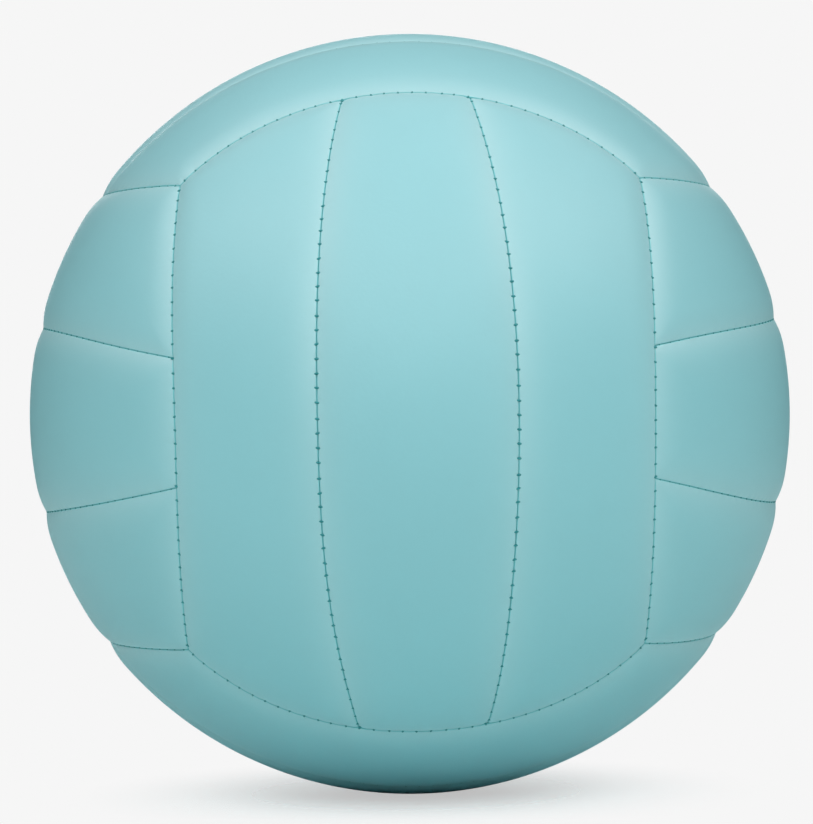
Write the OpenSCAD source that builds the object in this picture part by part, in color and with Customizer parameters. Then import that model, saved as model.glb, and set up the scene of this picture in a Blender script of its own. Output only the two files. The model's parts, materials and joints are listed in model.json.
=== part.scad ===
// Indoor volleyball: eighteen padded panels sewn over a lined, inflated bladder with a needle valve.
// The origin is the ball's centre. +Z is up, and -Y is the face with upright panels that is seen first.
// Six faces of three parallel panels wrap the ball, and each face lies square to its four neighbours.
// Every seam follows a circle on the ball, and its walls run straight to the ball's centre.

/* [Ball] */
// Diameter over the inflated cover
ball_d = 210; // [200:1:220]

/* [Panel layout] */
// Width of a middle panel at its widest, straight across
middle_w = 51; // [42:1:60]
// Angle by which the seams beside a middle panel lean out, so that it tapers to its ends
seam_lean = 12; // [6:1:16]
// Angle by which the long borders of a face lean out
border_lean = 2.4; // [0.5:0.1:6]

/* [Cover] */
// Thickness of the synthetic leather
skin_t = 1.2; // [0.8:0.1:1.6]
// Thickness of the sponge behind the leather
foam_t = 3; // [2:0.1:4]
// Thickness of the cloth lining
lining_t = 0.8; // [0.5:0.1:1.2]
// Gap between two turned-in panel edges
seam_gap = 0.6; // [0.4:0.05:0.8]
// Radius at which a panel's edge rolls over into the seam
lip_r = 3; // [2.2:0.1:3]

/* [Seam thread] */
// Diameter of the sewing thread
thread_d = 0.45; // [0.3:0.05:0.5]
// Depth of the thread below the ball's surface
thread_depth = 3.3; // [2.9:0.1:3.7]

/* [Bladder] */
// Wall of the rubber bladder
bladder_t = 1; // [0.7:0.1:1.4]

/* [Valve] */
// Diameter of the hole that the inflating needle slides into
needle_d = 2.1; // [1.8:0.05:2.4]
// Depth of that hole from its mouth
needle_depth = 14; // [11:0.5:16]
// Diameter of the soft core that holds the needle
core_d = 5; // [4:0.1:5.5]
// Thickness of the closed tip that seals behind the needle
core_tip = 2.5; // [1.5:0.1:3.5]
// Diameter of the housing's nose in the leather
nose_d = 7.4; // [6.6:0.1:8.4]
// How far the nose lies below the ball's surface
nose_sink = 0.5; // [0.3:0.1:0.9]
// Diameter of the housing's neck behind the leather
neck_d = 11; // [9.5:0.5:13]
// Diameter of the housing's barrel inside the bladder
barrel_d = 9; // [8:0.5:11]
// Length of the barrel inside the bladder
barrel_l = 8; // [6:0.5:9]
// Diameter of the flange that is bonded to the bladder
flange_d = 30; // [24:1:36]
// Thickness of the flange
flange_t = 1.6; // [1:0.1:2.2]
// Diameter of the patch that backs the valve hole
patch_d = 24; // [18:1:30]
// Thickness of that patch
patch_t = 0.6; // [0.4:0.1:0.9]

/* [Hidden] */
// Clearance between one layer and the next
layer_gap = 0.15;
// Clearance round the valve's housing
valve_gap = 0.3;
// Clearance between the core and its housing
core_gap = 0.1;
// Gap between a thread's end and the thread that it meets
thread_end_gap = 0.3;
// Height by which a lip's circle overtops the surface that it runs into, for a clean crossing
lip_crest = 0.1;
// Angle of the crease that is left where the lip's circle meets the wall
lip_crease = 8;
// Length by which cuts run past what they cut
overrun = 1;
// How far a plain block reaches past its seams before they trim it
block_spare = 4;
// How far a seam's cut reaches beside the seam, and past the seam's ends
cut_reach = 24;
cut_beyond = 12;

// Facets round a full circle, on the ball, on small parts and on the thread
ball_facets = 144;
small_facets = 48;
thread_facets = 16;

// Layers, from the outside in
ball_r = ball_d / 2;
leather_in_r = ball_r - skin_t;
foam_out_r = leather_in_r - layer_gap;
cover_in_r = ball_r - skin_t - foam_t;
lining_out_r = cover_in_r - layer_gap;
lining_in_r = lining_out_r - lining_t;
bladder_out_r = lining_in_r - layer_gap;
bladder_in_r = bladder_out_r - bladder_t;
flange_out_r = bladder_in_r - layer_gap;
flange_in_r = flange_out_r - flange_t;

// Distance from the ball's centre to the plane of a seam beside a middle panel
middle_half = middle_w / 2;
seam_h = middle_half * cos(seam_lean) - sqrt(ball_r * ball_r - middle_half * middle_half) * sin(seam_lean);
// The same for a border, where three borders meet at each of the ball's eight corners
border_h = ball_r * (cos(border_lean) - sin(border_lean)) / sqrt(3);

// Angle between a seam's axis and the seam, seen from the ball's centre
seam_angle = acos(seam_h / ball_r);
border_angle = acos(border_h / ball_r);

// Half of the angle that a border runs round its axis, from one corner to the next
border_half = atan2(1, sin(border_lean) + cos(border_lean));
// The same for a seam beside a middle panel, where it meets the borders of the two faces next to it
seam_a = sin(seam_angle) * cos(border_lean) * cos(seam_lean);
seam_b = sin(seam_angle) * sin(border_lean);
seam_c = cos(border_angle) + cos(seam_angle) * sin(seam_lean) * cos(border_lean);
seam_half = acos(seam_c / norm([seam_a, seam_b])) - atan2(seam_b, seam_a);

// Depth from which a seam's cut starts, below every layer
cut_floor = bladder_in_r - 4 * flange_t;

// Valve, along its own axis from the ball's centre
nose_top = ball_r - nose_sink;
neck_top = foam_out_r;
barrel_end = flange_in_r - barrel_l;
core_top = nose_top - nose_sink;
needle_end = core_top - needle_depth;
core_end = needle_end - core_tip;
hole_d = nose_d + 2 * valve_gap;
neck_hole_d = neck_d + 2 * valve_gap;

// Colours of the leather, sponge, cloth, rubber and thread
leather_colour = [0.55, 0.78, 0.79];
foam_colour = [0.93, 0.92, 0.86];
cloth_colour = [0.88, 0.88, 0.85];
rubber_colour = [0.13, 0.13, 0.14];
valve_colour = [0.2, 0.2, 0.21];
thread_colour = [0.16, 0.43, 0.45];

// Each face: its name, the turn that brings the front face there, and the names of its two outer panels
FACES = [
    ["front", [0, 0, 0], "left", "right"],
    ["back", [0, 0, 180], "right", "left"],
    ["right", [0, 90, 90], "upper", "lower"],
    ["left", [0, 90, -90], "upper", "lower"],
    ["top", [-90, 0, 90], "front", "rear"],
    ["bottom", [90, 0, 90], "front", "rear"]
];

// The three strips of a face: -1 and 1 are its outer panels, 0 is the middle one
STRIPS = [-1, 0, 1];

function strip_name(face, strip) =
    str(face[0], "_", strip == 0 ? "middle" : (strip < 0 ? face[2] : face[3]));

// What a seam takes away from a panel, in section: X runs out along the seam's wall, and Y runs away from it
// into the panel. A rolled edge keeps all that lies inside the lip's circle.
module cut_section(inset, rolled) {
    wall = seam_gap / 2 + inset;
    brim = ball_r + overrun;
    turn_r = lip_r - inset;
    turn_y = wall + turn_r * cos(lip_crease);
    turn_x = sqrt(pow(ball_r - inset - turn_r + lip_crest, 2) - turn_y * turn_y);
    difference() {
        translate([cut_floor, -cut_reach])
            square([brim - cut_floor, cut_reach + (rolled ? turn_y : wall)]);
        if (rolled)
            intersection() {
                translate([0, wall]) square([ball_d, ball_d]);
                union() {
                    translate([cut_floor - overrun, 0]) square([turn_x - cut_floor + overrun, ball_d]);
                    translate([turn_x, turn_y]) circle(turn_r, $fn = small_facets);
                }
            }
    }
}

// A section swept along a seam, with the seam's axis along Z and its middle at a given bearing.
// side 1 keeps the cap round the axis, and side -1 keeps the rest of the ball.
module seam_cut(angle, half, bearing, side, inset, rolled) {
    sweep = half + cut_beyond;
    rotate([0, 0, bearing - sweep])
        rotate_extrude(angle = 2 * sweep, $fn = ball_facets)
            rotate(90 - angle)
                mirror([0, side > 0 ? 0 : 1])
                    cut_section(inset, rolled);
}

// Turns the axis of a front-face seam from Z to its place: strip 1 is the seam on the right
module seam_axis(strip, lean) {
    rotate([0, 90, strip > 0 ? lean : 180 - lean]) children();
}

// The bearing of that seam's middle, towards the viewer
function seam_bearing(strip) = strip > 0 ? -90 : 90;

// Upper half of the middle strip (0) or of the right strip (1) of the front face, between two radii.
// It runs a little past the middle, where its mirror image meets it.
// A plain block is cut from the shell first. Its side seams trim it next, and its end seam comes last.
module half_strip(strip, out_r, in_r, inset, rolled, past_middle = overrun) {
    from_x = strip == 0 ? -middle_half - block_spare : middle_half / 2;
    to_x = strip == 0 ? middle_half + block_spare : border_h + 2 * block_spare;
    difference() {
        difference() {
            intersection() {
                difference() {
                    sphere(out_r, $fn = ball_facets);
                    sphere(in_r, $fn = ball_facets);
                }
                translate([from_x, -ball_d, -past_middle])
                    cube([to_x - from_x, ball_d - border_h + block_spare, ball_d]);
            }
            for (side = strip == 0 ? [0, 1] : [0])
                mirror([side, 0, 0])
                    seam_axis(1, seam_lean)
                        seam_cut(seam_angle, seam_half, seam_bearing(1), strip == 0 ? -1 : 1, inset, rolled);
            if (strip != 0)
                seam_axis(1, border_lean)
                    seam_cut(border_angle, border_half, seam_bearing(1), -1, inset, rolled);
        }
        rotate([90 + border_lean, 0, 0])
            seam_cut(border_angle, border_half, 90, 1, inset, rolled);
    }
}

// Completes a strip from its upper half, on the left (-1), in the middle (0) or on the right (1)
module whole_strip(strip) {
    mirror([strip < 0 ? 1 : 0, 0, 0])
        union() {
            children();
            mirror([0, 0, 1]) children();
        }
}

// A round hole on the valve's axis, from one distance to another
module valve_bore(d, from_r, to_r) {
    rotate([-90, 0, 0]) translate([0, 0, from_r]) cylinder(h = to_r - from_r, d = d, $fn = small_facets);
}

// Leather panel: a curved tray, with its edges rolled over and turned down into the seams
module panel(face, strip) {
    color(leather_colour)
        difference() {
            rotate(face[1])
                whole_strip(strip)
                    difference() {
                        half_strip(abs(strip), ball_r, cover_in_r, 0, true);
                        half_strip(abs(strip), leather_in_r, cover_in_r - overrun, skin_t, true, 2 * overrun);
                    }
            if (face[0] == "back" && strip == 0)
                valve_bore(hole_d, cover_in_r - overrun, ball_r + overrun);
        }
}

// Sponge that fills the tray and carries the leather
module foam(face, strip) {
    color(foam_colour)
        difference() {
            rotate(face[1])
                whole_strip(strip) half_strip(abs(strip), foam_out_r, cover_in_r, skin_t + layer_gap, true);
            if (face[0] == "back" && strip == 0) {
                valve_bore(neck_hole_d, cover_in_r - overrun, ball_r);
                intersection() {
                    valve_bore(patch_d + 2 * valve_gap, cover_in_r - overrun, ball_r);
                    sphere(cover_in_r + patch_t + layer_gap, $fn = ball_facets);
                }
            }
        }
}

// Cloth behind the three panels of a face, one piece to each panel
module lining(face) {
    color(cloth_colour)
        difference() {
            rotate(face[1])
                for (strip = STRIPS)
                    whole_strip(strip) half_strip(abs(strip), lining_out_r, lining_in_r, 0, false);
            if (face[0] == "back")
                valve_bore(neck_hole_d, lining_in_r - overrun, ball_r);
        }
}

// One length of thread that lies between two turned-in edges
module thread(strip, lean, angle, half) {
    run_r = ball_r - thread_depth;
    stop = (thread_d / 2 + thread_end_gap) / (run_r * sin(angle)) * 180 / PI;
    seam_axis(strip, lean)
        translate([0, 0, run_r * cos(angle)])
            rotate([0, 0, seam_bearing(strip) - half + stop])
                rotate_extrude(angle = 2 * (half - stop), $fn = ball_facets)
                    translate([run_r * sin(angle), 0]) circle(d = thread_d, $fn = thread_facets);
}

// The four threads of a face: beside its middle panel and along its two long borders
module seam_thread(face) {
    color(thread_colour)
        rotate(face[1])
            for (strip = [-1, 1]) {
                thread(strip, seam_lean, seam_angle, seam_half);
                thread(strip, border_lean, border_angle, border_half);
            }
}

// Cloth ring that backs the valve hole, let into the sponge
module valve_patch() {
    color(cloth_colour)
        difference() {
            intersection() {
                valve_bore(patch_d, lining_in_r, ball_r);
                difference() {
                    sphere(cover_in_r + patch_t, $fn = ball_facets);
                    sphere(cover_in_r, $fn = ball_facets);
                }
            }
            valve_bore(neck_hole_d, lining_in_r - overrun, ball_r + overrun);
        }
}

// Moulded rubber housing: a dished flange inside the bladder, a barrel, a neck and a nose
module valve_housing() {
    color(valve_colour)
        difference() {
            union() {
                intersection() {
                    valve_bore(flange_d, 0, ball_r);
                    difference() {
                        sphere(flange_out_r, $fn = ball_facets);
                        sphere(flange_in_r, $fn = ball_facets);
                    }
                }
                valve_bore(barrel_d, barrel_end, flange_out_r - flange_t / 2);
                valve_bore(neck_d, flange_in_r + flange_t / 4, neck_top);
                valve_bore(nose_d, neck_top - overrun, nose_top);
            }
            valve_bore(core_d + 2 * core_gap, barrel_end - overrun, nose_top + overrun);
        }
}

// Soft rubber core with the needle's blind hole, and a closed tip behind it
module valve_core() {
    color(rubber_colour)
        difference() {
            union() {
                valve_bore(core_d, needle_end, core_top);
                rotate([-90, 0, 0])
                    translate([0, 0, core_end])
                        cylinder(h = core_tip, d1 = needle_d, d2 = core_d, $fn = small_facets);
            }
            valve_bore(needle_d, needle_end, core_top + overrun);
        }
}

// Inflated bladder, with the hole that the valve's neck fills
module bladder() {
    color(rubber_colour)
        difference() {
            sphere(bladder_out_r, $fn = ball_facets);
            sphere(bladder_in_r, $fn = ball_facets);
            valve_bore(neck_hole_d, bladder_in_r - overrun, ball_r);
        }
}

for (face = FACES) for (strip = STRIPS) {
    panel(face, strip);
    foam(face, strip);
}
for (face = FACES) {
    lining(face);
    seam_thread(face);
}
valve_patch();
valve_housing();
valve_core();
bladder();
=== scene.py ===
"""Indoor volleyball in aqua synthetic leather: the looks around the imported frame.

Lengths are metres and angles radians, in the row frame: the ball's centre is the origin, +Z is up,
and -Y is the face with upright panels that is seen first.
"""

import json

import bpy
import numpy as np
from mathutils import Matrix, Vector


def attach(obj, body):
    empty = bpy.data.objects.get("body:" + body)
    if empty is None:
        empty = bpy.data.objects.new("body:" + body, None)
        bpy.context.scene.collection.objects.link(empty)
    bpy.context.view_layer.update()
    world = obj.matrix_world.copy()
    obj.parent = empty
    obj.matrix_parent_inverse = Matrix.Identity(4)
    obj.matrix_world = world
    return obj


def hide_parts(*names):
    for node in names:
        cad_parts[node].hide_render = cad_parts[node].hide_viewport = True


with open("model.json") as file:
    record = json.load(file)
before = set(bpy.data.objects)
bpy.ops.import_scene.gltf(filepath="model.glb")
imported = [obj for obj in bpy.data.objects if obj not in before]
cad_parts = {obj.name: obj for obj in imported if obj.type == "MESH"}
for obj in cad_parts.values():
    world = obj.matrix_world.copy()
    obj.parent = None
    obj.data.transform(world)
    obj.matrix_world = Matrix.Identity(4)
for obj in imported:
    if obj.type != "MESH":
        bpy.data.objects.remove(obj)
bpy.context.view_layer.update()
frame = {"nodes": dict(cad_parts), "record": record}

MM = 0.001
MOUNTS = {mount["name"]: mount for mount in frame["record"]["mounts"]}

# The ball and the layout of its seams, as the frame has them
BALL_R = -MOUNTS["rest_spot"]["pos_m"][2]
MIDDLE_W = 51 * MM
SEAM_LEAN = np.radians(12)
BORDER_LEAN = np.radians(2.4)

# Each face's turn from the front about X, Y and Z in degrees, then the names of its two outer strips
FACES = {
    "front": ((0, 0, 0), "left", "right"),
    "back": ((0, 0, 180), "right", "left"),
    "right": ((0, 90, 90), "upper", "lower"),
    "left": ((0, 90, -90), "upper", "lower"),
    "top": ((-90, 0, 90), "front", "rear"),
    "bottom": ((90, 0, 90), "front", "rear"),
}

# Layers of the cover
LEATHER_T = 1.2 * MM
COVER_T = 4.2 * MM
LAYER_GAP = 0.15 * MM

# How an inflated panel meets its seam: a broad shoulder, then a small lip that turns into the seam
SHOULDER_W = 8.5 * MM
SHOULDER_DEPTH = 1.05 * MM
SHOULDER_CURVE = 2.3
LIP_R = 0.3 * MM
SEAM_HALF_GAP = 0.02 * MM
WALL_HALF_GAP = 0.3 * MM
# Width of the painted highlight beside each seam, partly standing for leather stretched over the edge
STRETCH_SHEEN_W = 4 * MM

# Stitches across the seams: least and greatest pull as shares of the pucker's depth, and skew as a slope
STITCH_PITCH = 3.75 * MM
STITCH_JITTER = 0.3 * MM
STITCH_PULL = (0.6, 1.2)
STITCH_SKEW = 0.3
PUCKER_DEPTH = 0.14 * MM
PUCKER_LENGTH = 0.75 * MM
PUCKER_W = 1.3 * MM
RUNG_R = 0.31 * MM
RUNG_HALF = 0.9 * MM
RUNG_DEPTH = 1.06 * MM
RUNG_DIVE = 0.38 * MM
RUNG_TAPER = 0.35
BORDER_SINK = 0.1 * MM
SIDE_SINK = 0.18 * MM
END_SINK = 0.22 * MM
THREAD_R = 0.225 * MM
THREAD_DEPTH = 3.3 * MM
THREAD_END_GAP = 0.3 * MM

# The valve, in the middle of the back face, and how far its cut reaches inside and outside the cover
VALVE_HOLE_R = 4 * MM
VALVE_RIM_R = 0.7 * MM
VALVE_NECK_R = 5.8 * MM
VALVE_POCKET_R = 12.3 * MM
VALVE_POCKET_DEPTH = 0.75 * MM
VALVE_DISH_R = 9 * MM
VALVE_DISH_DEPTH = 0.45 * MM
VALVE_CUT_INSIDE = 2 * MM
VALVE_CUT_OUTSIDE = 1 * MM
VALVE_SHARP_ANGLE = np.radians(50)

# Where this ball's seams stray: azimuth and elevation in degrees from the viewer's side, then the shift
DRIFT_REACH = 29 * MM
DRIFTS_RIGHT = [
    (-11, 52, -0.5 * MM),
    (-14, 0, 0.5 * MM),
    (-11, -45, 0.5 * MM),
    (11, 52, -0.5 * MM),
    (15, 2, 0.3 * MM),
    (13, -52, 0.9 * MM),
    (-38, 25, -1.5 * MM),
    (-38, -25, -0.9 * MM),
    (38, 30, 2.0 * MM),
    (38, -30, 0.5 * MM),
]
DRIFTS_UP = [
    (5, -56, 3.0 * MM),
    (-42, 11, -1.5 * MM),
    (-45, 36, 2.0 * MM),
    (-48, -37, -0.7 * MM),
    (65, 15, -1.0 * MM),
    (65, -14, -0.7 * MM),
    (45, 36, 2.0 * MM),
    (52, -37, -1.5 * MM),
]

# Spacing of the points on a panel, on the threads and round the valve
GRID_STEP = 0.65 * MM
LIP_POINTS = 7
WALL_POINTS = 5
BACK_COLUMNS = 8
THREAD_SIDES = 8
THREAD_POINTS_PER_STITCH = 2
RUNG_SIDES = 10
RUNG_POINTS = 9
VALVE_SIDES = 96
VALVE_POCKET_POINTS = 6
VALVE_RIM_POINTS = 9

# The camera, fitted to the ball's outline and seams in the photograph, which is 813 by 824 pixels
FRAME_W, FRAME_H = 813, 824
OUTLINE_X, OUTLINE_Y, OUTLINE_R = 409.8, 413.9, 380.0
CAMERA_BALLS = 9.86
CAMERA_YAW, CAMERA_PITCH, CAMERA_ROLL = np.radians([0.98, 0.32, -0.96])
SENSOR_W = 36.0

# The floor as light sees it, and how far from the ball's foot the camera sees it
FLOOR_R = 1.2
FLOOR_SIDES = 128
FLOOR_SEEN_R = 0.01
FLOOR_FADED_R = 0.1
FLOOR_SEEN_SHARE = 0.45

# Panels of light: azimuth from the viewer and elevation in degrees, distance, width and height, watts, tint
WARM, WARM_SIDE, NEAR_WHITE, WHITE = (1, 0.84, 0.82), (1, 0.85, 0.83), (1, 0.98, 0.98), (1, 1, 1)
LIGHT_PANELS = {
    "overhead_front_panel": (0, 80, 2.0, 5.0, 0.7, 17.6, WARM),
    "overhead_rear_panel": (0, 100, 2.0, 5.0, 0.7, 13.6, WARM),
    "front_panel": (0, 28, 1.6, 1.3, 0.7, 9.6, NEAR_WHITE),
    "front_high_panel": (0, 48, 1.6, 1.3, 0.7, 5.9, WARM),
    "left_high_panel": (-60, 45, 1.6, 0.8, 0.8, 7.6, WARM_SIDE),
    "right_high_panel": (60, 45, 1.6, 0.8, 0.8, 9.0, WARM_SIDE),
    "rear_panel": (180, 10, 1.6, 1.0, 0.5, 7.0, WHITE),
}

# Brightness of the backdrop and the colours, linear. The floor is a little cool under the warm panels
BACKDROP = 0.922
FLOOR_COLOUR = (0.68, 0.86, 0.86)
LEATHER_COLOUR = (0.222, 0.53, 0.58)
# Painted highlight: the paler tone beside each seam, partly for stretched leather there
STRETCH_SHEEN_COLOUR = (0.295, 0.575, 0.615)
# Painted shade: the darker, more saturated teal of the seam's fold, where little light reaches
FOLD_SHADE_COLOUR = (0.105, 0.52, 0.555)
THREAD_COLOUR = (0.012, 0.235, 0.25)
CLOTH_COLOUR = (0.62, 0.61, 0.57)

# The finishes: shades of a colour, roughness, patterns as repeats in a metre, and height of the relief
LEATHER_SHADES = (0.97, 1.03)
LEATHER_ROUGHNESS = (0.48, 0.54)
LEATHER_MOTTLE_SCALE = 22.0
LEATHER_SHEEN_SCALE = 60.0
PEBBLE_SCALE = 900.0
PEBBLE_SMOOTHNESS = 0.6
PORE_SCALE = 2600.0
PORE_SHARE = 0.3
LEATHER_RELIEF = 0.02 * MM
THREAD_ROUGHNESS = 0.6
FIBRE_SCALE = 3000.0
THREAD_RELIEF = 0.04 * MM
CLOTH_SHADES = (0.82, 1)
CLOTH_ROUGHNESS = 0.85
YARN_SCALE = 260.0
CLOTH_RELIEF = 0.1 * MM
RUBBER_SHADES = (0.8, 1.25)
RUBBER_UNEVENNESS = 0.06
RUBBER_MOTTLE_SCALE = 90.0
RUBBER_SHEEN_SCALE = 140.0
RUBBER_GRAIN_SCALE = 1500.0
FLOOR_ROUGHNESS = 0.9

# The three rubbers: colour, middle roughness and height of the grain
RUBBERS = {
    "valve_rubber": ((0.035, 0.035, 0.038), 0.55, 0.03 * MM),
    "core_rubber": ((0.02, 0.02, 0.021), 0.62, 0.02 * MM),
    "bladder_rubber": ((0.03, 0.03, 0.032), 0.45, 0.05 * MM),
}


def turned(x, y, z):
    """Rotation matrix about X, then Y, then Z, by radians."""
    about_x = np.array([[1, 0, 0], [0, np.cos(x), -np.sin(x)], [0, np.sin(x), np.cos(x)]])
    about_y = np.array([[np.cos(y), 0, np.sin(y)], [0, 1, 0], [-np.sin(y), 0, np.cos(y)]])
    about_z = np.array([[np.cos(z), -np.sin(z), 0], [np.sin(z), np.cos(z), 0], [0, 0, 1]])
    return about_z @ about_y @ about_x


def unit(vectors):
    """The same vectors at length one."""
    return vectors / np.linalg.norm(vectors, axis=-1, keepdims=True)


def sewn(directions):
    """Unit directions moved from the even layout to where the seams of this ball run.

    The move is the sum of s e exp(-d^2 / 2 w^2) over the drifts, with the shift s along the direction e and
    the distance d from the drift's place.
    """
    moved = directions
    for upwards, drifts in enumerate((DRIFTS_RIGHT, DRIFTS_UP)):
        for azimuth, elevation, shift in drifts:
            a, e = np.radians([azimuth, elevation])
            centre = np.array([np.sin(a) * np.cos(e), -np.cos(a) * np.cos(e), np.sin(e)])
            up = np.array([-np.sin(a) * np.sin(e), np.cos(a) * np.sin(e), np.cos(e)])
            along = up if upwards else np.array([np.cos(a), np.sin(a), 0])
            square = np.sum((directions - centre) ** 2, -1, keepdims=True) * BALL_R**2
            moved = moved + along * shift / BALL_R * np.exp(-square / (2 * DRIFT_REACH**2))
    return unit(moved)


TURNS = {face: turned(*np.radians(value[0])) for face, value in FACES.items()}


def layout():
    """Lean, distance from the centre and half length in radians of the two kinds of seam.

    A seam's plane passes half a middle panel beside the face's middle: h = w cos t - sqrt(R^2 - w^2) sin t.
    A border's plane passes the corner (1, -1, 1) / sqrt 3. A seam ends on the border across its end, at the
    bearing b where p cos b - q sin b = k.
    """
    half_w = MIDDLE_W / 2
    seam_h = half_w * np.cos(SEAM_LEAN) - np.sqrt(BALL_R**2 - half_w**2) * np.sin(SEAM_LEAN)
    border_h = BALL_R * (np.cos(BORDER_LEAN) - np.sin(BORDER_LEAN)) / np.sqrt(3)
    border_half = np.arctan2(1, np.sin(BORDER_LEAN) + np.cos(BORDER_LEAN))
    seam_angle, border_angle = np.arccos(seam_h / BALL_R), np.arccos(border_h / BALL_R)
    p = np.sin(seam_angle) * np.cos(BORDER_LEAN) * np.cos(SEAM_LEAN)
    q = np.sin(seam_angle) * np.sin(BORDER_LEAN)
    k = np.cos(border_angle) + np.cos(seam_angle) * np.sin(SEAM_LEAN) * np.cos(BORDER_LEAN)
    seam_half = np.arccos(k / np.hypot(p, q)) - np.arctan2(q, p)
    return {"seam": (SEAM_LEAN, seam_h, seam_half), "border": (BORDER_LEAN, border_h, border_half)}


LAYOUT = layout()


class Seam:
    """A circle on the ball round an axis, with stitches spread evenly along it, a little out of line.

    The stitches sink deeper in the borders, on the two side faces and, by the square of the place, towards
    the ends of the seams beside a middle panel.
    """

    def __init__(self, face, kind, side, seed):
        lean, distance, self.half = LAYOUT[kind]
        self.axis = TURNS[face] @ np.array([side * np.cos(lean), np.sin(lean), 0])
        self.angle = np.arccos(distance / BALL_R)
        middle = TURNS[face] @ np.array([0, -1.0, 0])
        self.towards = unit(middle - self.axis * (middle @ self.axis))
        self.sideways = np.cross(self.axis, self.towards)
        self.radius = BALL_R * np.sin(self.angle)
        self.count = int(round(2 * self.half * self.radius / STITCH_PITCH))
        self.pitch = 2 * self.half * self.radius / self.count
        random = np.random.default_rng(seed)
        jitter = random.uniform(-STITCH_JITTER, STITCH_JITTER, self.count)
        self.places = (np.arange(self.count) + 0.5) * self.pitch - self.half * self.radius + jitter
        self.pull = random.uniform(*STITCH_PULL, self.count)
        self.skew = random.uniform(-STITCH_SKEW, STITCH_SKEW, self.count)
        self.sink = SIDE_SINK * (face in ("left", "right"))
        if kind == "border":
            self.sink = self.sink + BORDER_SINK
        else:
            self.sink = self.sink + END_SINK * (self.places / (self.half * self.radius)) ** 2

    def beyond(self, directions):
        """Distance along the ball from the seam to each direction, positive away from the axis."""
        return (np.arccos(np.clip(directions @ self.axis, -1, 1)) - self.angle) * BALL_R

    def pucker(self, directions, inset):
        """Depth to which the nearest stitch pulls a cover: a bell curve along the seam and away from it."""
        place = np.arctan2(directions @ self.sideways, directions @ self.towards) * self.radius
        nearest = np.clip((place / self.pitch + self.count / 2).astype(int), 0, self.count - 1)
        away = (place - self.places[nearest]) / PUCKER_LENGTH
        return PUCKER_DEPTH * self.pull[nearest] * np.exp(-(away**2) - (inset / PUCKER_W) ** 2)

    def at(self, place, inset, depth):
        """Points at distances along the seam and across it, at a depth below the ball's surface."""
        bearing = (place / self.radius)[..., None]
        lean = (self.angle + inset / BALL_R)[..., None]
        ray = np.cos(bearing) * self.towards + np.sin(bearing) * self.sideways
        return sewn(np.cos(lean) * self.axis + np.sin(lean) * ray) * (BALL_R - depth)[..., None]


SEAM_KEYS = [(face, kind, side) for face in FACES for kind in LAYOUT for side in (-1, 1)]
SEAMS = {key: Seam(*key, seed) for seed, key in enumerate(SEAM_KEYS)}


def walls_of(face, strip):
    """The seams along a strip's sides and across its ends, each with the sign of the strip's side."""
    if strip == 0:
        sides = [(SEAMS[face, "seam", -1], 1), (SEAMS[face, "seam", 1], 1)]
    else:
        sides = [(SEAMS[face, "seam", strip], -1), (SEAMS[face, "border", strip], 1)]
    borders = [seam for key, seam in SEAMS.items() if key[1] == "border"]
    ends = []
    for side in (-1, 1):
        axis = TURNS[face] @ np.array([0, -np.cos(BORDER_LEAN), -side * np.sin(BORDER_LEAN)])
        ends.append((max(borders, key=lambda seam: seam.axis @ axis), -1))
    return sides, ends


def grid_places(length):
    """Places across a panel as shares from -1 to 1 of the half width that an inset leaves.

    A lip has insets at equal angles of its quarter circle. Between the lips the inset is the lip and half a
    step, and the shares are even.
    """
    lip = LIP_R * (1 - np.cos(np.linspace(0, np.pi / 2, LIP_POINTS + 1)))
    share = np.linspace(-1, 1, int(length / GRID_STEP))
    inset = np.full(len(share), LIP_R + GRID_STEP / 2)
    ones = np.ones(len(lip))
    return np.concatenate([-ones, share, ones]), np.concatenate([lip, inset, lip[::-1]])


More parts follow.
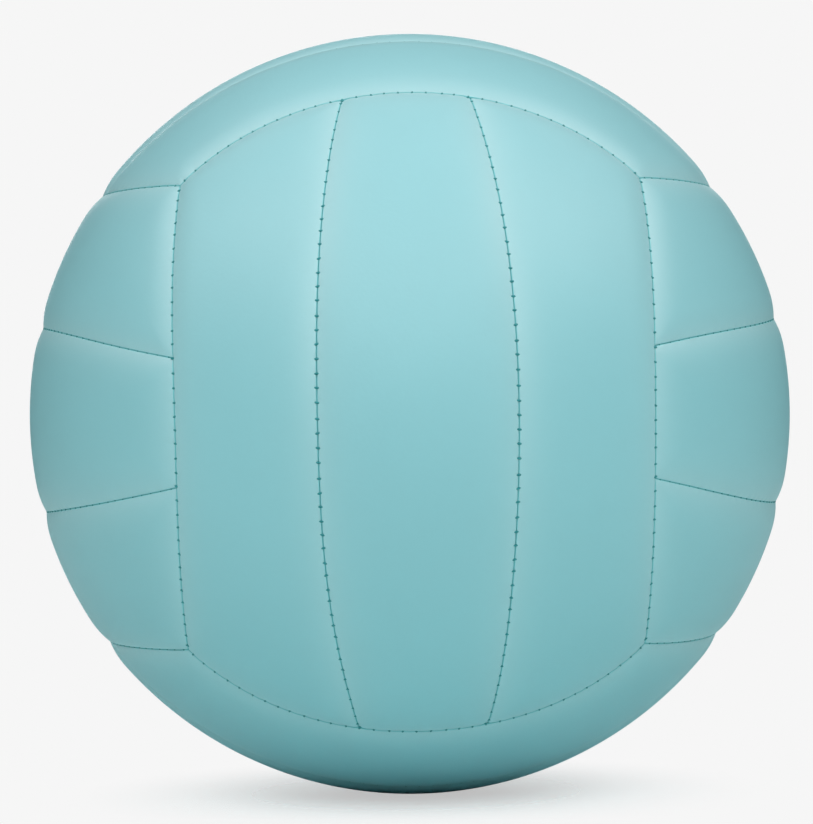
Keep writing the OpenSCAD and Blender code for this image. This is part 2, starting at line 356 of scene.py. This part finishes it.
def strip_directions(strip):
    """Unit directions of a front-face strip's points, by rows from the lower end and columns towards +X.

    A row is the circle in the plane n.p = s with n = (0, sin t, cos t) and s = R sin(h - t). Its height h at
    X = 0 and its tilt t grow together, so that the first and the last row lie in the end walls. A point's
    bearing on its row lies between the roots of A sin b + B cos b = K, where the row meets the side walls.
    """
    row_share, row_inset = grid_places(2 * LAYOUT["seam"][2] * BALL_R)
    column_share, column_inset = grid_places(MIDDLE_W)
    rows, columns = np.meshgrid(row_share, column_share, indexing="ij")
    row_in, column_in = np.meshgrid(row_inset, column_inset, indexing="ij")
    # Where two lips cross, the square of points is pressed into a quarter disc, which rounds the corner
    end_lip, side_lip = np.clip(1 - row_in / LIP_R, 0, 1), np.clip(1 - column_in / LIP_R, 0, 1)
    corner = end_lip * side_lip > 0
    row_in = np.where(corner, LIP_R * (1 - end_lip * np.sqrt(1 - side_lip**2 / 2)), row_in)
    column_in = np.where(corner, LIP_R * (1 - side_lip * np.sqrt(1 - end_lip**2 / 2)), column_in)
    end = np.arccos(LAYOUT["border"][1] / BALL_R) - SEAM_HALF_GAP / BALL_R - BORDER_LEAN
    height = rows * (end - row_in / BALL_R)
    tilt = height * (np.pi / 2 - BORDER_LEAN) / end
    sink, radius = BALL_R * np.sin(height - tilt), BALL_R * np.cos(height - tilt)

    def wall(kind, sign):
        """Bearing at which each row meets a side wall."""
        lean, distance, _ = LAYOUT[kind]
        wanted = BALL_R * np.cos(np.arccos(distance / BALL_R) + sign * SEAM_HALF_GAP / BALL_R)
        wanted = wanted - sink * np.sin(tilt) * np.sin(lean)
        a, b = radius * np.cos(lean), -radius * np.cos(tilt) * np.sin(lean)
        return np.arcsin(wanted / np.hypot(a, b)) - np.arctan2(b, a)

    high = wall("border", 1) if strip else wall("seam", 1)
    low = wall("seam", -1) if strip else -high
    bearing = (low + high) / 2 + columns * ((high - low) / 2 - column_in / radius)
    x = radius * np.sin(bearing)
    y = sink * np.sin(tilt) - radius * np.cos(bearing) * np.cos(tilt)
    z = sink * np.cos(tilt) + radius * np.cos(bearing) * np.sin(tilt)
    directions = unit(np.stack([x, y, z], -1))
    return directions if strip >= 0 else directions[:, ::-1] * [-1, 1, 1]


def cover_depth(face, strip, directions):
    """Depth of a cover's surface below the ball, as a sum of three parts, and the inset from the seams.

    A shoulder is D (1 - i / W)^c at the inset i, and two join as the cube root of the sum of their cubes.
    A lip is r (1 - sqrt(1 - a^2 - b^2)), where a and b are how far its sides and ends have turned. A pucker
    comes with each stitch. The middle back panel is also dished, by D exp(-(d / w)^4) at d from the valve.
    """
    shoulder, pucker = np.zeros(directions.shape[:-1]), np.zeros(directions.shape[:-1])
    turn, insets = [], []
    for walls in walls_of(face, strip):
        nearest = np.full(shoulder.shape, BALL_R)
        for seam, sign in walls:
            inset = np.clip(sign * seam.beyond(directions) - SEAM_HALF_GAP, 0, None)
            nearest = np.minimum(nearest, inset)
            fall = SHOULDER_DEPTH * np.clip(1 - inset / SHOULDER_W, 0, None) ** SHOULDER_CURVE
            shoulder = np.cbrt(shoulder**3 + fall**3)
            pucker = pucker + seam.pucker(directions, inset)
        insets.append(nearest)
        turn.append(np.clip(1 - nearest / LIP_R, 0, 1))
    lip = LIP_R * (1 - np.sqrt(np.clip(1 - turn[0] ** 2 - turn[1] ** 2, 0, 1)))
    depth = shoulder + pucker + lip
    if (face, strip) == ("back", 0):
        from_valve = BALL_R * np.hypot(directions[..., 0], directions[..., 2])
        depth = depth + VALVE_DISH_DEPTH * np.exp(-((from_valve / VALVE_DISH_R) ** 4))
    return depth, np.minimum(*insets)


def grid_quads(numbers):
    """Quads of a grid of point numbers, whose front is where columns run to the right and rows run up."""
    corners = [numbers[:-1, :-1], numbers[:-1, 1:], numbers[1:, 1:], numbers[1:, :-1]]
    return np.stack(corners, -1).reshape(-1, 4)


def fan(coarse, fine):
    """Triangles that close the strip between a row of few points and a row of many beside it."""
    near = np.round(np.linspace(0, len(coarse) - 1, len(fine))).astype(int)
    step = near[1:] > near[:-1]
    first = np.stack([fine[:-1], fine[1:], coarse[near[:-1]]], -1)
    second = np.stack([fine[1:], coarse[near[1:]], coarse[near[:-1]]], -1)[step]
    return np.concatenate([first, second])


def mesh_object(name, points, faces):
    """A smooth mesh object at the origin, from an array of points and a list of face arrays."""
    mesh = bpy.data.meshes.new(name)
    mesh.from_pydata(points.tolist(), [], [face for group in faces for face in group.tolist()])
    mesh.polygons.foreach_set("use_smooth", np.ones(len(mesh.polygons), bool))
    mesh.update()
    made = bpy.data.objects.new(name, mesh)
    bpy.context.scene.collection.objects.link(made)
    return made


def cover(face, strip, name):
    """A padded panel as one closed skin: crowned top with lips, walls down into the seams, plain back.

    Each ring of the walls lies deeper and farther back from the seam than the last: depth d + s (T - d),
    step min(1, 2 s) (W - g), for shares s from 0 to 1. At the inset i the painted highlight beside a seam,
    partly for stretched leather, is exp(-i / W), and the painted shade of the fold is 1 - i / r on the lip.
    Both are 1 on the walls and the back.
    """
    top = strip_directions(strip) @ TURNS[face].T
    depth, inset = cover_depth(face, strip, top)
    top = sewn(top)
    numbers = np.arange(depth.size).reshape(depth.shape)
    loop = np.concatenate([numbers[0, :-1], numbers[:-1, -1], numbers[-1, :0:-1], numbers[:0:-1, 0]])
    rim, rim_depth = top.reshape(-1, 3)[loop], depth.reshape(-1)[loop]
    inwards = unit(np.cross(rim, np.roll(rim, -1, 0) - np.roll(rim, 1, 0)))
    share = np.linspace(0, 1, WALL_POINTS + 1)[1:, None]
    ring_r = BALL_R - rim_depth - share * (COVER_T - rim_depth)
    step = np.minimum(1, 2 * share) * (WALL_HALF_GAP - SEAM_HALF_GAP)
    rings = rim * ring_r[..., None] + inwards * step[..., None]
    ring_numbers = depth.size + np.arange(ring_r.size).reshape(ring_r.shape)
    above = np.concatenate([loop[None], ring_numbers[:-1]])
    walls = np.stack([above, ring_numbers, np.roll(ring_numbers, -1, 1), np.roll(above, -1, 1)], -1)
    # The back keeps the last ring's points and has a few between them in each row
    edge = np.zeros(numbers.shape, int)
    edge.reshape(-1)[loop] = ring_numbers[-1]
    place = np.zeros(numbers.shape + (3,))
    place.reshape(-1, 3)[loop] = rings[-1]
    across = np.linspace(0, 1, BACK_COLUMNS + 1)[1:-1, None]
    inner = place[1:-1, :1] * (1 - across) + place[1:-1, -1:] * across
    inner = unit(inner) * (BALL_R - COVER_T)
    inner_numbers = np.arange(inner[..., 0].size).reshape(inner.shape[:2]) + depth.size + ring_r.size
    sheet = np.concatenate([edge[1:-1, :1], inner_numbers, edge[1:-1, -1:]], 1)
    back = [grid_quads(sheet)[:, ::-1], fan(sheet[0], edge[0])[:, ::-1], fan(sheet[-1], edge[-1])]
    surface = top * (BALL_R - depth)[..., None]
    points = np.concatenate([surface.reshape(-1, 3), rings.reshape(-1, 3), inner.reshape(-1, 3)])
    made = mesh_object(name, points, [grid_quads(numbers), walls.reshape(-1, 4)] + back)
    # Painted highlight beside the seams, with stretched leather, and painted shade in their fold, carried by
    # the points
    tones = {"stretch_sheen": np.exp(-inset / STRETCH_SHEEN_W), "fold_shade": np.clip(1 - inset / LIP_R, 0, 1)}
    for key, on_top in tones.items():
        values = np.concatenate([on_top.reshape(-1), np.ones(len(points) - inset.size)])
        made.data.attributes.new(key, "FLOAT", "POINT").data.foreach_set("value", values)
    return made


def tubes(paths, radii, sides):
    """Points and faces of round tubes with pointed ends, from (tube, point, 3) paths and a radius a point.

    A ring lies square to the path: p + r (u cos a + v sin a), with u the ball's radius made square to it.
    """
    ahead = unit(np.gradient(paths, axis=1))
    up = unit(unit(paths) - ahead * np.sum(unit(paths) * ahead, -1, keepdims=True))
    side = np.cross(ahead, up)
    angle = np.arange(sides)[:, None] * 2 * np.pi / sides
    ring = up[..., None, :] * np.cos(angle) + side[..., None, :] * np.sin(angle)
    points = paths[..., None, :] + ring * radii[..., None, None]
    count, length = paths.shape[:2]
    tips = paths[:, [0, -1]] + ahead[:, [0, -1]] * radii[:, [0, -1], None] * np.array([[-1], [1]])
    start = np.arange(count)[:, None, None] * (length * sides + 2)
    numbers = start + np.arange(length * sides).reshape(1, length, sides)
    beside = np.roll(numbers, -1, 2)
    tip = np.broadcast_to(start[..., 0] + length * sides, (count, sides))
    quads = np.stack([numbers[:, :-1], beside[:, :-1], beside[:, 1:], numbers[:, 1:]], -1)
    caps = [
        np.stack([beside[:, 0], numbers[:, 0], tip], -1).reshape(-1, 3),
        np.stack([numbers[:, -1], beside[:, -1], tip + 1], -1).reshape(-1, 3),
    ]
    points = np.concatenate([points.reshape(count, -1, 3), tips], 1).reshape(-1, 3)
    return points, [quads.reshape(-1, 4)] + caps


def stitching(face, name):
    """All thread of a face's four seams: a thread that runs deep in each seam, and a rung at every stitch.

    A rung's depth is d + e (x / h)^2 at x across the seam, so that both ends dive into the covers' lips. Its
    radius is r (1 - t (x / h)^4).
    """
    points, faces, count = [], [], 0
    for seam in (SEAMS[key] for key in SEAM_KEYS if key[0] == face):
        reach = seam.half * seam.radius - THREAD_R - THREAD_END_GAP
        run = np.linspace(-reach, reach, seam.count * THREAD_POINTS_PER_STITCH)
        run_path = seam.at(run, 0 * run, 0 * run + THREAD_DEPTH)[None]
        run_r = np.full(run_path.shape[:2], THREAD_R)
        share, flat = np.linspace(-1, 1, RUNG_POINTS), 0 * seam.places[:, None]
        inset = share * RUNG_HALF + flat
        sink = (RUNG_DEPTH + seam.sink + PUCKER_DEPTH * seam.pull / 2)[:, None]
        depth = sink + RUNG_DIVE * share**2
        rung_path = seam.at(seam.places[:, None] + seam.skew[:, None] * inset, inset, depth)
        rung_r = RUNG_R * (1 - RUNG_TAPER * share**4) + flat
        for path, radii, sides in ((run_path, run_r, THREAD_SIDES), (rung_path, rung_r, RUNG_SIDES)):
            made, groups = tubes(path, radii, sides)
            points.append(made)
            faces += [group + count for group in groups]
            count += len(made)
    return mesh_object(name, np.concatenate(points), faces)


def revolved(name, profile, sides):
    """A closed solid about Y with the points (r cos a, y, r sin a).

    Its profile of (r, y) starts low on the axis and ends high on it.
    """
    profile = np.array(profile)
    angle = np.arange(sides) * 2 * np.pi / sides
    around = np.stack([np.cos(angle), 0 * angle, np.sin(angle)], -1)
    up = np.array([0, 1, 0])
    rows = profile[1:-1]
    points = around * rows[:, :1, None] + up * rows[:, 1:, None]
    tips = up * profile[[0, -1], 1:]
    numbers = np.arange(len(rows) * sides).reshape(len(rows), sides)
    beside = np.roll(numbers, -1, 1)
    low = np.full(sides, numbers.size)
    quads = np.stack([numbers[:-1], numbers[1:], beside[1:], beside[:-1]], -1).reshape(-1, 4)
    caps = [np.stack([numbers[0], beside[0], low], -1), np.stack([beside[-1], numbers[-1], low + 1], -1)]
    return mesh_object(name, np.concatenate([points.reshape(-1, 3), tips]), [quads] + caps)


def cut_valve_hole(piece):
    """Cuts the valve's way through a cover.

    The form that is cut away has a pocket for the patch, the neck's hole, and the nose's hole with a rim
    that is a quarter circle.
    """
    pocket_r = BALL_R - COVER_T + VALVE_POCKET_DEPTH
    rim_end = VALVE_HOLE_R + VALVE_RIM_R
    rim_y = np.sqrt((BALL_R - VALVE_DISH_DEPTH) ** 2 - rim_end**2)
    neck_y = BALL_R - LEATHER_T - LAYER_GAP / 2
    low_y, high_y = BALL_R - COVER_T - VALVE_CUT_INSIDE, BALL_R + VALVE_CUT_OUTSIDE
    pocket_places = np.linspace(VALVE_POCKET_R, VALVE_NECK_R, VALVE_POCKET_POINTS)
    pocket = [(r, np.sqrt(pocket_r**2 - r**2)) for r in pocket_places]
    rim = [
        (rim_end - VALVE_RIM_R * np.cos(a), rim_y - VALVE_RIM_R * (1 - np.sin(a)))
        for a in np.linspace(0, np.pi / 2, VALVE_RIM_POINTS)
    ]
    profile = [(0, low_y), (VALVE_POCKET_R, low_y), *pocket, (VALVE_NECK_R, neck_y), (VALVE_HOLE_R, neck_y)]
    profile += [*rim, (rim_end + VALVE_RIM_R, rim_y + LAYER_GAP), (rim_end, high_y), (0, high_y)]
    cutter = revolved("valve_hole_form", profile, VALVE_SIDES)
    cut = piece.modifiers.new("valve_hole", "BOOLEAN")
    cut.object, cut.operation, cut.solver = cutter, "DIFFERENCE", "EXACT"
    bpy.context.view_layer.update()
    mesh = bpy.data.meshes.new_from_object(piece.evaluated_get(bpy.context.evaluated_depsgraph_get()))
    mesh.set_sharp_from_angle(angle=VALVE_SHARP_ANGLE)
    piece.modifiers.clear()
    piece.data = mesh
    bpy.data.objects.remove(cutter)


class Socket:
    """A node's output that takes part in plain arithmetic."""

    def __init__(self, look, output):
        self.look, self.output = look, output

    def __add__(self, other):
        return self.look.maths("ADD", self, other)

    def __sub__(self, other):
        return self.look.maths("SUBTRACT", self, other)

    def __rsub__(self, other):
        return self.look.maths("SUBTRACT", other, self)

    def __mul__(self, other):
        return self.look.maths("MULTIPLY", self, other)

    __radd__, __rmul__ = __add__, __mul__


class Look:
    """A material built node by node round one Principled surface."""

    def __init__(self, name):
        self.material = bpy.data.materials.new(name)
        self.material.use_nodes = True
        self.tree = self.material.node_tree
        self.surface = self.tree.nodes["Principled BSDF"]

    def feed(self, key, value):
        """Sets one input of the surface to a value or a socket."""
        self.put(self.surface.inputs[key], value)

    def put(self, target, value):
        """Sets an input to a value or a colour, or links a socket to it."""
        if isinstance(value, Socket):
            self.tree.links.new(value.output, target)
        else:
            target.default_value = (*value, 1) if target.type == "RGBA" else value

    def node(self, kind, settings=None, inputs=None, output=0):
        """Adds a node and returns one of its outputs."""
        made = self.tree.nodes.new("ShaderNode" + kind)
        for key, value in (settings or {}).items():
            setattr(made, key, value)
        for key, value in (inputs or {}).items():
            self.put(made.inputs[key], value)
        return Socket(self, made.outputs[output])

    def maths(self, operation, first, second):
        """A sum, difference or product of two numbers."""
        return self.node("Math", {"operation": operation}, {0: first, 1: second})

    def place(self):
        """The point's place on the object, in metres."""
        return self.node("TexCoord", output="Object")

    def attribute(self, name):
        """A number that the piece's points carry."""
        return self.node("Attribute", {"attribute_name": name}, output="Fac")

    def noise(self, scale, detail=2.0):
        """An even mottle from 0 to 1."""
        return self.node("TexNoise", inputs={"Vector": self.place(), "Scale": scale, "Detail": detail})

    def mix(self, factor, first, second):
        """A colour between two others."""
        return self.node("Mix", {"data_type": "RGBA"}, {0: factor, 6: first, 7: second}, 2)

    def varied(self, factor, colour, shades):
        """A colour that varies between two shades of itself."""
        first, second = (tuple(shade * part for part in colour) for shade in shades)
        return self.mix(factor, first, second)

    def bump(self, height, distance):
        """Raises the surface by a height from 0 to 1 times a distance."""
        self.feed("Normal", self.node("Bump", inputs={"Distance": distance, "Height": height}))


def leather_look():
    """Satin synthetic leather with a pebble grain, a painted highlight with stretched leather beside the
    seams, and painted shade in the fold.
    """
    look = Look("aqua_leather")
    tone = look.varied(look.noise(LEATHER_MOTTLE_SCALE, detail=3.0), LEATHER_COLOUR, LEATHER_SHADES)
    # Painted highlight: paler leather in a band beside each seam, partly for stretched leather
    tone = look.mix(look.attribute("stretch_sheen"), tone, STRETCH_SHEEN_COLOUR)
    # Painted shade in the fold: the lips and the walls down into the seam
    look.feed("Base Color", look.mix(look.attribute("fold_shade"), tone, FOLD_SHADE_COLOUR))
    smoothest, roughest = LEATHER_ROUGHNESS
    look.feed("Roughness", smoothest + (roughest - smoothest) * look.noise(LEATHER_SHEEN_SCALE))
    pebbles = look.node(
        "TexVoronoi",
        {"feature": "SMOOTH_F1"},
        {"Vector": look.place(), "Scale": PEBBLE_SCALE, "Smoothness": PEBBLE_SMOOTHNESS},
    )
    pores = look.noise(PORE_SCALE)
    look.bump((1 - pebbles) * (1 - PORE_SHARE) + pores * PORE_SHARE, LEATHER_RELIEF)
    return look.material


def thread_look():
    """Waxed polyester thread, dark teal."""
    look = Look("seam_thread")
    look.feed("Base Color", THREAD_COLOUR)
    look.feed("Roughness", THREAD_ROUGHNESS)
    look.bump(look.noise(FIBRE_SCALE), THREAD_RELIEF)
    return look.material


def cloth_look():
    """Plain woven lining: two sets of yarns that cross at a right angle."""
    look = Look("woven_lining")
    warp = look.node("TexWave", {"bands_direction": "X"}, {"Vector": look.place(), "Scale": YARN_SCALE})
    weft = look.node("TexWave", {"bands_direction": "Z"}, {"Vector": look.place(), "Scale": YARN_SCALE})
    weave = warp * weft
    look.feed("Base Color", look.varied(weave, CLOTH_COLOUR, CLOTH_SHADES))
    look.feed("Roughness", CLOTH_ROUGHNESS)
    look.bump(weave, CLOTH_RELIEF)
    return look.material


def rubber_look(name, colour, roughness, relief):
    """Moulded rubber: near black, matt, with a faint mottle and a fine grain."""
    look = Look(name)
    look.feed("Base Color", look.varied(look.noise(RUBBER_MOTTLE_SCALE, detail=4.0), colour, RUBBER_SHADES))
    sheen = look.noise(RUBBER_SHEEN_SCALE, detail=3.0)
    look.feed("Roughness", roughness + RUBBER_UNEVENNESS * (2 * sheen - 1))
    look.bump(look.noise(RUBBER_GRAIN_SCALE, detail=3.0), relief)
    return look.material


LOOKS = {"leather": leather_look(), "thread": thread_look(), "cloth": cloth_look()}
LOOKS.update({name: rubber_look(name, *values) for name, values in RUBBERS.items()})

# The covers and their stitching
for face, (_, low_name, high_name) in FACES.items():
    for strip, strip_word in ((-1, low_name), (0, "middle"), (1, high_name)):
        label = f"{face}_{strip_word}"
        piece = cover(face, strip, f"{label}_cover")
        if (face, strip) == ("back", 0):
            cut_valve_hole(piece)
        piece.data.materials.clear()
        piece.data.materials.append(LOOKS["leather"])
        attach(piece, "root")
        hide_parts(f"{label}_panel", f"{label}_foam")
    thread = stitching(face, f"{face}_stitching")
    thread.data.materials.append(LOOKS["thread"])
    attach(thread, "root")
    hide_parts(f"{face}_seam_thread")

# The frame's own pieces that stay
for subpart in frame["record"]["subparts"]:
    node = frame["nodes"][subpart["node"]]
    if not node.hide_render:
        for material_slot in node.material_slots:
            material_slot.link = "OBJECT"
            material_slot.material = LOOKS[subpart["material_slot"]]


def light_panel(name, azimuth, elevation, distance, width, height, watts, tint):
    """A soft panel of light that faces the ball."""
    light = bpy.data.lights.new(name, "AREA")
    light.shape, light.size, light.size_y = "RECTANGLE", width, height
    light.energy, light.color = watts, tint
    made = bpy.data.objects.new(name, light)
    a, e = np.radians([azimuth, elevation])
    place = Vector((np.sin(a) * np.cos(e), -np.cos(a) * np.cos(e), np.sin(e))) * distance
    made.matrix_world = Matrix.Translation(place) @ place.to_track_quat("Z", "Y").to_matrix().to_4x4()
    bpy.context.scene.collection.objects.link(made)


def floor():
    """A round pale floor under the ball. To the camera it fades into the backdrop a little way off."""
    height = MOUNTS["rest_spot"]["pos_m"][2]
    angle = np.arange(FLOOR_SIDES) * 2 * np.pi / FLOOR_SIDES
    points = np.stack([FLOOR_R * np.cos(angle), FLOOR_R * np.sin(angle), 0 * angle + height], -1)
    made = mesh_object("floor", points, [np.arange(FLOOR_SIDES)[None]])
    look = Look("pale_floor")
    look.feed("Base Color", FLOOR_COLOUR)
    look.feed("Roughness", FLOOR_ROUGHNESS)
    look.feed("Specular IOR Level", 0.0)
    aside = look.node("VectorMath", {"operation": "SUBTRACT"}, {0: look.place(), 1: (0, 0, height)})
    from_ball = look.node("VectorMath", {"operation": "LENGTH"}, {0: aside}, "Value")
    gone = look.node(
        "MapRange",
        {"interpolation_type": "SMOOTHSTEP"},
        {"Value": from_ball, "From Min": FLOOR_SEEN_R, "From Max": FLOOR_FADED_R},
    )
    seen = look.node("LightPath", output="Is Camera Ray")
    look.feed("Alpha", 1 - seen * (1 - FLOOR_SEEN_SHARE * (1 - gone)))
    made.data.materials.append(look.material)


def backdrop():
    """A plain pale backdrop where the camera looks past the ball. The panels alone give the light."""
    world = bpy.data.worlds.new("studio")
    world.use_nodes = True
    nodes, links = world.node_tree.nodes, world.node_tree.links
    seen = nodes.new("ShaderNodeLightPath").outputs["Is Camera Ray"]
    tone = nodes.new("ShaderNodeMix")
    tone.data_type = "RGBA"
    tone.inputs[6].default_value = (0, 0, 0, 1)
    tone.inputs[7].default_value = (BACKDROP, BACKDROP, BACKDROP, 1)
    links.new(seen, tone.inputs[0])
    links.new(tone.outputs[2], nodes["Background"].inputs["Color"])
    bpy.context.scene.world = world


def camera():
    """The photograph's camera: a long lens at the ball's height, aimed at its centre, shifted a little."""
    rows = turned(0, 0, CAMERA_YAW) @ turned(CAMERA_PITCH, 0, 0) @ turned(0, CAMERA_ROLL, 0)
    data = bpy.data.cameras.new("camera")
    data.sensor_fit, data.sensor_width = "HORIZONTAL", SENSOR_W
    data.lens = OUTLINE_R * np.sqrt(CAMERA_BALLS**2 - 1) / FRAME_W * SENSOR_W
    data.shift_x = (FRAME_W / 2 - OUTLINE_X) / FRAME_W
    data.shift_y = (OUTLINE_Y - FRAME_H / 2) / FRAME_W
    made = bpy.data.objects.new("camera", data)
    axes = Matrix([rows[0], rows[2], -rows[1]]).transposed().to_4x4()
    made.matrix_world = Matrix.Translation(-CAMERA_BALLS * BALL_R * Vector(rows[1])) @ axes
    bpy.context.scene.collection.objects.link(made)
    bpy.context.scene.camera = made


for panel_name, settings in LIGHT_PANELS.items():
    light_panel(panel_name, *settings)
floor()
backdrop()
camera()

bpy.context.scene.view_settings.view_transform = "Standard"
